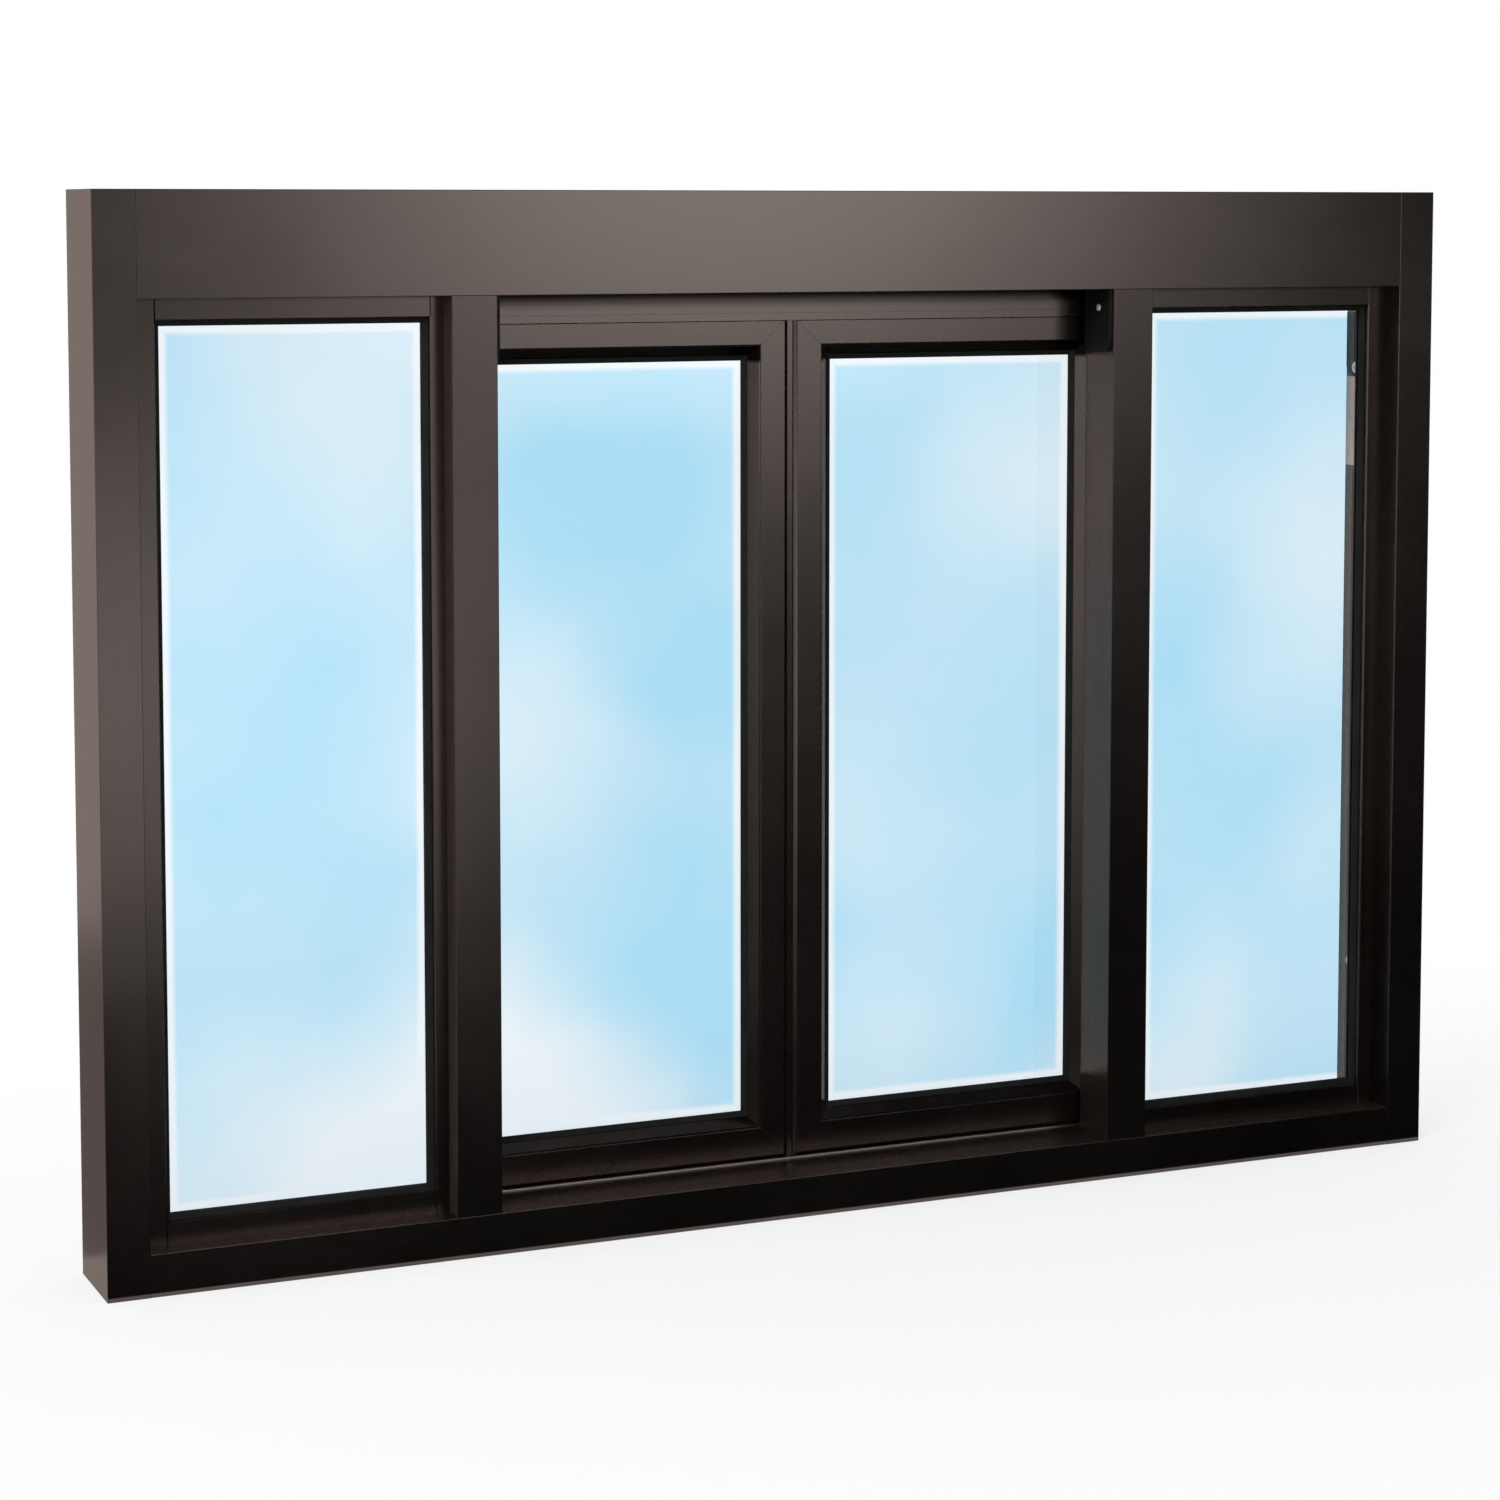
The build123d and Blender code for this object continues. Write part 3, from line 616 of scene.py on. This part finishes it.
def recess_cutter(radius, height):
    """Crossed recess that narrows downwards."""
    build = bmesh.new()
    half_length = recess_half_length_share * radius
    half_width = recess_half_width_share * radius
    floor = height * (1 - recess_depth_share)
    for turn in (0.0, math.pi / 2):
        rotation = Matrix.Rotation(turn, 3, "Z")
        corners = []
        for level, share in ((floor, recess_floor_share), (2 * height, recess_top_share)):
            for sign_x, sign_y in ((-1, -1), (1, -1), (1, 1), (-1, 1)):
                corner = Vector((sign_x * half_length * share, sign_y * half_width * share, level))
                corners.append(build.verts.new(rotation @ corner))
        build.faces.new(corners[3::-1])
        build.faces.new(corners[4:])
        for step in range(4):
            after = (step + 1) % 4
            build.faces.new((corners[step], corners[after], corners[4 + after], corners[4 + step]))
    return new_object("recess", finished_mesh("recess", build))


def finished_head(name, radius, height):
    """Mesh of a screw head with its recess cut and its round parts smooth."""
    head = screw_head(name, radius, height)
    cutter = recess_cutter(radius, height)
    cut = head.modifiers.new("recess", "BOOLEAN")
    cut.object = cutter
    cut.operation = "DIFFERENCE"
    cut.solver = "EXACT"
    cut.use_self = True
    graph = bpy.context.evaluated_depsgraph_get()
    mesh = bpy.data.meshes.new_from_object(head.evaluated_get(graph))
    mesh.name = name
    for item in (head, cutter):
        bpy.data.objects.remove(item)
    mesh.polygons.foreach_set("use_smooth", [True] * len(mesh.polygons))
    mesh.set_sharp_from_angle(angle=head_smooth_angle)
    return mesh


def seated_screws(name, seats, size, material):
    """One joined mesh of like screw heads. Each seat is a point and the way that its head faces."""
    head = finished_head(f"{name}_head", *size)
    build = bmesh.new()
    for number, (place, facing) in enumerate(seats):
        turn = Matrix.Rotation(further_turn * number + first_turn, 4, "Z")
        aim = Vector(facing).to_track_quat("Z", "Y").to_matrix().to_4x4()
        start = len(build.verts)
        build.from_mesh(head)
        build.verts.ensure_lookup_table()
        seat = Matrix.Translation(place) @ aim @ turn
        bmesh.ops.transform(build, matrix=seat, verts=build.verts[start:])
    bpy.data.meshes.remove(head)
    add_piece(name, finished_mesh(name, build), material)


# Radius and height of the screw heads
anchor_head = (0.0072, 0.0035)
block_head = (0.0042, 0.0024)
fitting_head = (0.0032, 0.0018)
pull_head = (0.0034, 0.0018)

# Seats of the screws in the jambs
anchor_depth = 0.088
anchor_heights = (0.2095, 0.9405)
jamb_low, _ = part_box("right_jamb")
strap_low, strap_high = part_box("jamb_strap")
front = jamb_low.y
opening_edge = jamb_low.x
anchor_seats = []
for anchor_height in anchor_heights:
    on_strap = strap_low.z < anchor_height < strap_high.z
    right_x = strap_low.x if on_strap else opening_edge
    anchor_seats.append(((right_x, front + anchor_depth, anchor_height), (-1, 0, 0)))
    anchor_seats.append(((-opening_edge, front + anchor_depth, anchor_height), (1, 0, 0)))
seated_screws("anchor_screws", anchor_seats, anchor_head, zinc_plate)

# Seats of the screws in the blocks beside the mullions
block_thickness = 0.004
block_screw_depth = 0.028
block_screw_drop = 0.021
_, block_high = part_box("mullion_blocks")
block_face = block_high.x - block_thickness
block_screw_y = front + block_screw_depth
block_screw_z = block_high.z - block_screw_drop
block_seats = [((side * block_face, block_screw_y, block_screw_z), (-side, 0, 0)) for side in (-1, 1)]
seated_screws("mullion_screws", block_seats, block_head, zinc_plate)

# Seats of the screws in the latch and its strike, each with its distance from the ends
latch_screw_inset = 0.009
strike_screw_inset = 0.008
latch_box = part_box("latch")
strike_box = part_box("strike")
fitting_rear = strike_box[1].y
fitting_seats = []
for (low, high), inset in ((latch_box, latch_screw_inset), (strike_box, strike_screw_inset)):
    middle_x = (low.x + high.x) / 2
    for level in (low.z + inset, high.z - inset):
        fitting_seats.append(((middle_x, fitting_rear, level), (0, 1, 0)))
seated_screws("latch_screws", fitting_seats, fitting_head, black_paint)

# Seats of the screws in the flat legs of the pulls
pull_screw_side = 0.007
pull_screw_inset = 0.014
pull_leg_thickness = 0.0025
pull_seats = []
for side in ("left", "right"):
    low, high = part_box(f"{side}_sash_pull")
    flat_x = low.x + pull_screw_side if side == "left" else high.x - pull_screw_side
    for level in (low.z + pull_screw_inset, high.z - pull_screw_inset):
        pull_seats.append(((flat_x, low.y + pull_leg_thickness, level), (0, 1, 0)))
seated_screws("pull_screws", pull_seats, pull_head, black_paint)


# Seal strips of the sashes

strip_bevel = 0.0002
strip_bevel_steps = 2
wiper_thickness = 0.001
wiper_lap = 0.0065
wiper_seat = 0.002
wiper_reach = 0.0035
meeting_left = -0.0034
meeting_right = 0.0030
meeting_thickness = 0.0012
meeting_set_back = 0.0032
meeting_end_gap = 0.001


def strip(name, low, high, material):
    """Straight strip between two corners, with its edges just broken."""
    build = bmesh.new()
    bmesh.ops.create_cube(build, size=1.0)
    for vertex in build.verts:
        vertex.co = Vector([a + (b - a) * (c + 0.5) for a, b, c in zip(low, high, vertex.co)])
    edges = build.edges[:]
    bmesh.ops.bevel(
        build, geom=edges, offset=strip_bevel, segments=strip_bevel_steps, affect="EDGES", profile=0.5
    )
    add_piece(name, finished_mesh(name, build), material)


wiper_end = block_face + wiper_reach
wiper_low = (-wiper_end, fascia_low.y - wiper_thickness, fascia_low.z - wiper_lap)
wiper_high = (wiper_end, fascia_low.y, fascia_low.z + wiper_seat)
strip("fascia_wiper", wiper_low, wiper_high, frame_x)

sash_low, sash_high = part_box("left_meeting_stile")
meeting_y = sash_low.y + meeting_set_back
meeting_low = (meeting_left, meeting_y, sash_low.z + meeting_end_gap)
meeting_high = (meeting_right, meeting_y + meeting_thickness, sash_high.z - meeting_end_gap)
strip("meeting_strip", meeting_low, meeting_high, sash_z)


# Studio

floor_size = 40.0
floor_mottle = (6.0, 4.0, 0.5)
floor_shades = (0.985, 1.01)
floor_fade_middle_y = -0.35
floor_fade_width_share = 0.5
floor_fade_range = (0.3, 1.5)
floor_near_glow = 0.68

# Soft lamp: place, point that it is aimed at, side and power
key_place = (-2.4, -2.2, 3.2)
key_target = (0, 0, 0.4)
key_size = 1.6
key_watts = 70

# Cards that only reflections show: name, middle, half width, half height and strength
glow_cards = [
    ("sheen_card", (2.03, -5.0, 1.42), 1.6, 0.95, 3.95),
    ("front_card", (-0.95, -5.2, 1.0), 1.3, 1.0, 0.75),
    ("low_card", (-0.34, -1.5, 0.42), 0.80, 0.50, 1.30),
]

# Box of dark flags around the front of the window, paler where its left end shows in views from the right
flag_left = -4
flag_split = -1
flag_right = 6
flag_far = -6
flag_near = -0.4
flag_top = 3.6
flag_lift = 0.004
flag_gap = 0.00135
dark_grey = 0.004
left_grey = 0.35

# Pale flag on the floor beside the left jamb
side_flag_x = (-2.2, -0.82)
side_flag_y = (0.1, 1.8)
side_grey = 0.4
cloth_noise = (300.0, 2.0, 0.5)
cloth_shades = (0.6, 1.4)


def seen_white(tree):
    """1 for rays that see the background: from the camera, off gloss and through glass."""
    path = tree.nodes.new("ShaderNodeLightPath")
    seen = math_node(tree, "MAXIMUM", path.outputs["Is Camera Ray"], path.outputs["Is Glossy Ray"])
    return math_node(tree, "MAXIMUM", seen, path.outputs["Is Transmission Ray"])


def white_world():
    """White where it is seen, and an even soft fill as light."""
    world = bpy.data.worlds.new("studio")
    bpy.context.scene.world = world
    world.use_nodes = True
    tree = world.node_tree
    tree.nodes.clear()
    background = tree.nodes.new("ShaderNodeBackground")
    output = tree.nodes.new("ShaderNodeOutputWorld")
    background.inputs["Color"].default_value = white
    strength = spread(tree, seen_white(tree), whole_range, (sky_fill, white_level))
    tree.links.new(strength, background.inputs["Strength"])
    tree.links.new(background.outputs["Background"], output.inputs["Surface"])


def level_corners(x_low, x_high, y_low, y_high, height):
    """Corners of a level sheet."""
    plan = [(x_low, y_low), (x_high, y_low), (x_high, y_high), (x_low, y_high)]
    return [(x, y, height) for x, y in plan]


def upright_corners(start, end, low, high):
    """Corners of an upright sheet that stands on the line between two points of the plan."""
    return [(*start, low), (*end, low), (*end, high), (*start, high)]


def panel(name, corners, material):
    """Flat four-sided sheet that belongs to the studio."""
    mesh = bpy.data.meshes.new(name)
    mesh.from_pydata(corners, [], [(0, 1, 2, 3)])
    mesh.materials.append(material)
    sheet = new_object(name, mesh)
    return sheet


def floor_material():
    """Pale floor that keeps shadows near the window and turns into the white background further out."""
    material, tree, shader = new_material("pale_floor")
    point = object_point(tree)
    mottle = noise(tree, point, *floor_mottle)
    tree.links.new(toned(tree, mottle, floor_colour, floor_shades), shader.inputs["Base Color"])
    shader.inputs["Roughness"].default_value = 0.9
    shader.inputs["Specular IOR Level"].default_value = 0.1
    x, y, _ = split_point(tree, point)
    aside = math_node(tree, "MULTIPLY", x, floor_fade_width_share)
    behind = math_node(tree, "SUBTRACT", y, floor_fade_middle_y)
    distance = math_node(tree, "SQRT", sum_of_squares(tree, aside, behind))
    far = spread(tree, distance, floor_fade_range, (floor_near_glow, 1.0), smooth=True)
    glow = tree.nodes.new("ShaderNodeEmission")
    glow.inputs["Color"].default_value = white
    glow.inputs["Strength"].default_value = white_level
    both = tree.nodes.new("ShaderNodeMixShader")
    tree.links.new(math_node(tree, "MULTIPLY", far, seen_white(tree)), both.inputs["Fac"])
    tree.links.new(shader.outputs["BSDF"], both.inputs[1])
    tree.links.new(glow.outputs["Emission"], both.inputs[2])
    tree.links.new(both.outputs["Shader"], surface_of(tree))
    return material


def key_lamp():
    """Soft rectangular lamp aimed at the window."""
    light = bpy.data.lights.new("key_lamp", "AREA")
    light.shape = "RECTANGLE"
    light.size = key_size
    light.size_y = key_size
    light.energy = key_watts
    holder = new_object("key_lamp", light)
    holder.location = key_place
    aim = Vector(key_target) - Vector(key_place)
    holder.rotation_euler = aim.to_track_quat("-Z", "Y").to_euler()
    holder.visible_camera = False


def only_in_reflections(card):
    """Show a studio card to glossy rays alone."""
    card.visible_camera = False
    card.visible_diffuse = False
    card.visible_transmission = False
    card.visible_shadow = False
    card.visible_volume_scatter = False


def flag(name, corners, grey=dark_grey):
    """Matt card that only darkens reflections, as in product photography."""
    material, tree, shader = new_material(name)
    cloth = noise(tree, object_point(tree), *cloth_noise)
    tree.links.new(toned(tree, cloth, (grey, grey, grey), cloth_shades), shader.inputs["Base Color"])
    shader.inputs["Roughness"].default_value = 1.0
    shader.inputs["Specular IOR Level"].default_value = 0.0
    only_in_reflections(panel(name, corners, material))


def glow_card(name, place, half_width, half_height, strength):
    """Upright card whose glow fades out softly from its middle, for a soft sheen without an edge."""
    material, tree, shader = new_material(name)
    tree.nodes.remove(shader)
    x, _, z = split_point(tree, object_point(tree))
    across = math_node(tree, "DIVIDE", x, half_width)
    up = math_node(tree, "DIVIDE", z, half_height)
    level = spread(tree, sum_of_squares(tree, across, up), whole_range, (strength, 0.0), smooth=True)
    glow = tree.nodes.new("ShaderNodeEmission")
    tree.links.new(level, glow.inputs["Strength"])
    clear = tree.nodes.new("ShaderNodeBsdfTransparent")
    both = tree.nodes.new("ShaderNodeAddShader")
    tree.links.new(glow.outputs["Emission"], both.inputs[0])
    tree.links.new(clear.outputs["BSDF"], both.inputs[1])
    tree.links.new(both.outputs["Shader"], surface_of(tree))
    corners = upright_corners((-half_width, 0), (half_width, 0), -half_height, half_height)
    card = panel(name, corners, material)
    card.location = place
    only_in_reflections(card)


def flags():
    """The box of flags in front of the window, and the pale flag at its side."""
    lower_edge = front - flag_gap
    low = level_corners(flag_split, flag_right, flag_far, lower_edge, flag_lift)
    left_low = level_corners(flag_left, flag_split, flag_far, lower_edge, flag_lift)
    far = upright_corners((flag_split, flag_far), (flag_right, flag_far), 0, flag_top)
    left_far = upright_corners((flag_left, flag_far), (flag_split, flag_far), 0, flag_top)
    top = level_corners(flag_left, flag_right, flag_far, flag_near, flag_top)
    right = upright_corners((flag_right, flag_far), (flag_right, flag_near), 0, flag_top)
    flag("low_flag", low)
    flag("left_low_flag", left_low, left_grey)
    flag("far_flag", far)
    flag("left_far_flag", left_far, left_grey)
    flag("top_flag", top)
    flag("right_flag", right)
    flag("side_flag", level_corners(*side_flag_x, *side_flag_y, flag_lift), side_grey)


def studio():
    """World, floor, lamp, cards and flags."""
    white_world()
    half = floor_size / 2
    panel("floor", level_corners(-half, half, -half, half, 0), floor_material())
    key_lamp()
    for card in glow_cards:
        glow_card(*card)
    flags()


def photo_camera():
    """Camera at the photograph's viewing angle."""
    data = bpy.data.cameras.new("photo_camera")
    data.sensor_width = camera_sensor
    data.lens = camera_lens
    data.shift_y = camera_shift_y
    data.clip_end = camera_reach
    camera = new_object("photo_camera", data)
    camera.location = camera_place
    level = math.cos(camera_pitch)
    ahead = (math.sin(camera_yaw) * level, math.cos(camera_yaw) * level, -math.sin(camera_pitch))
    camera.rotation_mode = "QUATERNION"
    camera.rotation_quaternion = Vector(ahead).to_track_quat("-Z", "Y")
    bpy.context.scene.camera = camera


studio()
photo_camera()
bpy.context.scene.view_settings.view_transform = "Standard"
